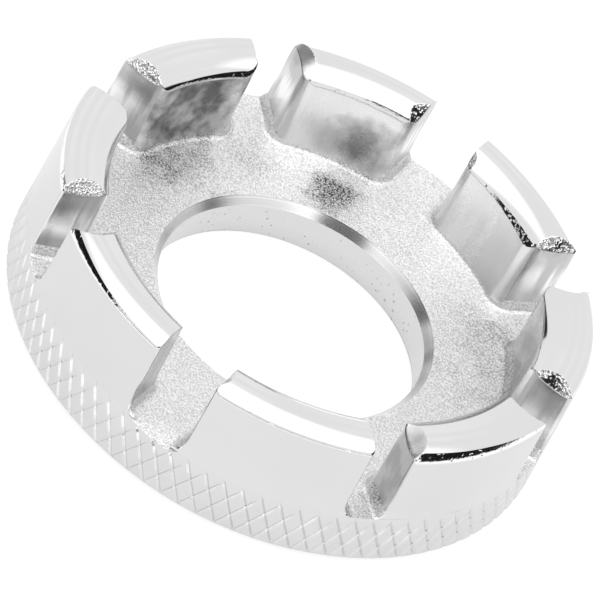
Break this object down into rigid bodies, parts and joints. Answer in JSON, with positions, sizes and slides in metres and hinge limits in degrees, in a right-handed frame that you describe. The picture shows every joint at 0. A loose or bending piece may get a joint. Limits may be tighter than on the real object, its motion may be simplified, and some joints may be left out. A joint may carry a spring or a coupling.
{
  "type": "spoke wrench",
  "caption": "Round spoke wrench: a flat ring with a large bore, upstanding arc-shaped lugs with slots of different widths between them, and a diamond-knurled rim.",
  "frame": {"origin": "on the ring's axis, at the back face that the wrench lies on", "axes": "+Z along the ring's axis, from the back face towards the lugs; -Y through the middle of slot 1"},
  "size_m": [0.055, 0.055, 0.015],
  "materials": {
    "web": "bright plating over a grained as-cast face",
    "rim": "bright plating over a diamond knurl",
    "lug": "bright plating over smooth cast faces"
  },
  "bodies": {
    "root": {"core_ring": "web", "knurled_rim": "rim", "lug_1": "lug", "lug_2": "lug", "lug_3": "lug", "lug_4": "lug", "lug_5": "lug", "lug_6": "lug", "lug_7": "lug", "lug_8": "lug"}
  },
  "joints": []
}
